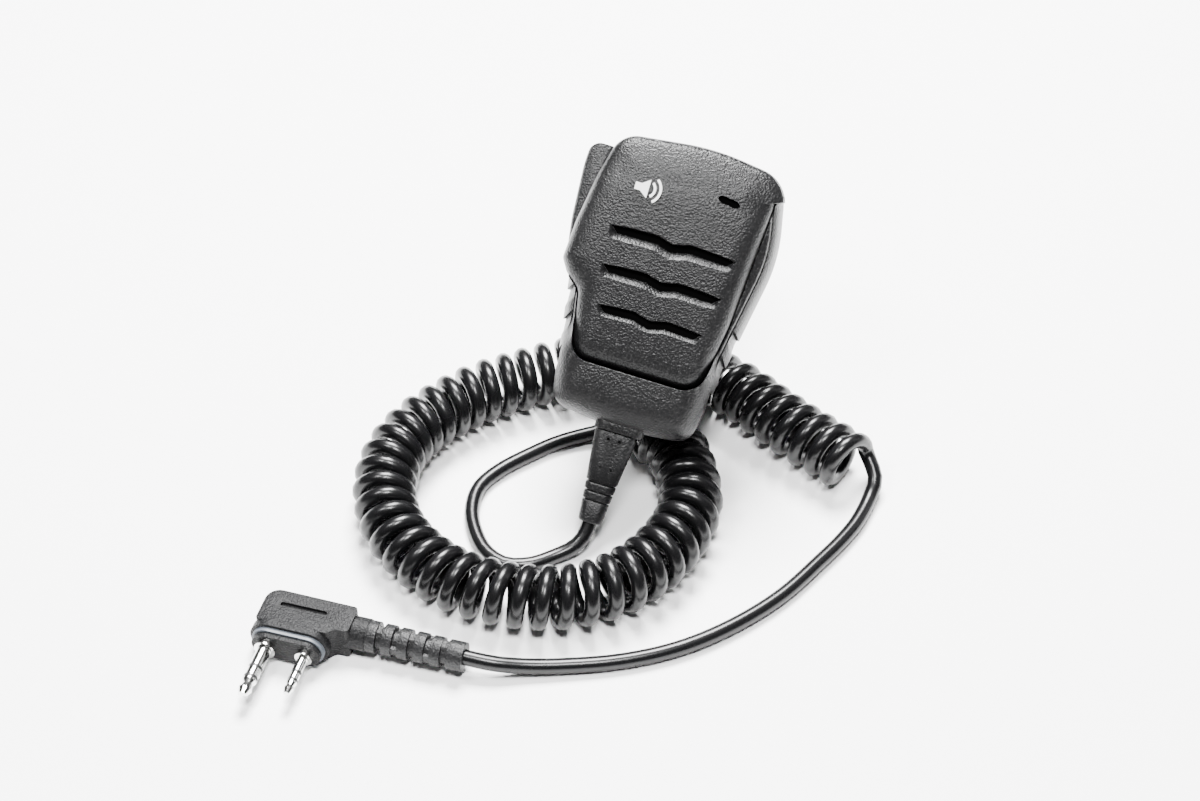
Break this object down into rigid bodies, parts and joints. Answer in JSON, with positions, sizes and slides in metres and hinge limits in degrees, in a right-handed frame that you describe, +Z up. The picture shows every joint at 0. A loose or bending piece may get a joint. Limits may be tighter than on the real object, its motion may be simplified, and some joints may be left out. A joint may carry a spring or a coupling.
{
  "type": "hand microphone",
  "caption": "palm-sized loudspeaker microphone with a sprung talk key on its left side, a turning spring clip behind, a curly cord and a right-angle plug with a large and a small jack pin",
  "frame": {"origin": "centre of the handset's own box, which takes in the case, boot and clip but not the cord, coil and plug; the table the cord lies on is at z = -0.0438", "axes": "+Z up, +X to the viewer's right and +Y away from the viewer; the handset leans on its coiled cord with its top back, right and up, and its front faces the viewer and up"},
  "size_m": [0.1563, 0.126, 0.0826],
  "materials": {
    "case_plastic": "fine pebble-textured black moulding",
    "cord_rubber": "satin black cable jacket",
    "plug_plastic": "smooth satin black",
    "dark_plastic": "plain moulded",
    "cream_plastic": "plain moulded",
    "seal_rubber": "blue-grey soft rubber",
    "sheet": "thin woven sheet",
    "cone_paper": "pressed paper",
    "steel": "plain steel",
    "magnet": "sintered magnet",
    "copper": "fine enamelled winding",
    "board": "green lacquered laminate",
    "board_dark": "moulded components",
    "wire_jacket": "coloured insulation",
    "plated": "bright nickel plating",
    "insulator": "plain moulded rings",
    "white_ink": "printed white"
  },
  "bodies": {
    "handset": {"front_shell": "case_plastic", "rear_shell": "case_plastic", "case_seal": "cord_rubber", "case_screws": "steel", "front_emblem": "white_ink", "speaker_gasket": "cord_rubber", "speaker_membrane": "sheet", "speaker_frame": "dark_plastic", "speaker_yoke": "steel", "speaker_magnet": "magnet", "pole_plate": "steel", "mic_capsule": "steel", "mic_holder": "cord_rubber", "mic_membrane": "sheet", "circuit_board": "board", "board_parts": "board_dark", "board_screws": "steel", "inner_wires": "wire_jacket", "ptt_bracket": "dark_plastic", "ptt_pin": "steel", "ptt_switch": "dark_plastic", "ptt_seal": "cord_rubber", "clip_screw": "steel", "clip_washer": "steel", "cable_boot": "cord_rubber", "cable_tail": "cord_rubber", "cable_clamp": "dark_plastic", "lead_handset": "cord_rubber", "curly_cord": "cord_rubber", "lead_plug": "cord_rubber", "plug_body": "plug_plastic", "plug_relief": "cord_rubber", "plug_plate": "plug_plastic", "plug_seal": "seal_rubber", "pin_big": "plated", "pin_small": "plated", "pin_insulators": "insulator", "pin_collars": "plated"},
    "talk_key": {"ptt_key": "case_plastic"},
    "switch_plunger": {"ptt_plunger": "cream_plastic"},
    "cone": {"speaker_cone": "cone_paper", "voice_coil": "copper"},
    "clip": {"clip_base": "case_plastic", "clip_pin": "steel", "clip_spring": "steel"},
    "jaw": {"clip_jaw": "case_plastic"}
  },
  "joints": [
    {"name": "ptt_press", "type": "hinge", "parent": "handset", "child": "talk_key", "pos_m": [-0.01979, 0.01491, 0.00618], "axis": [0.0497, 0.7332, -0.6782], "range_deg": [0, 2.5], "stiffness_Nm_per_rad": 0.6, "springref_deg": -1.72},
    {"name": "plunger_press", "type": "slide", "parent": "handset", "child": "switch_plunger", "axis": [0.9554, -0.2329, -0.1817], "range_m": [0, 0.00075]},
    {"name": "cone_travel", "type": "slide", "parent": "handset", "child": "cone", "axis": [0.0497, 0.7332, -0.6782], "range_m": [-0.0003, 0.0003], "stiffness_N_per_m": 800},
    {"name": "clip_turn", "type": "hinge", "parent": "handset", "child": "clip", "pos_m": [0.00016, 0.01888, -0.00134], "axis": [0.0497, 0.7332, -0.6782], "range_deg": [-90, 90]},
    {"name": "clip_open", "type": "hinge", "parent": "clip", "child": "jaw", "pos_m": [-0.00163, 0.01808, -0.00971], "axis": [-0.9554, 0.2329, 0.1817], "range_deg": [0, 15], "stiffness_Nm_per_rad": 0.4, "springref_deg": -11.46}
  ],
  "couplings": [
    {"joint": "plunger_press", "follows": "ptt_press", "m_per_rad": 0.0165}
  ]
}
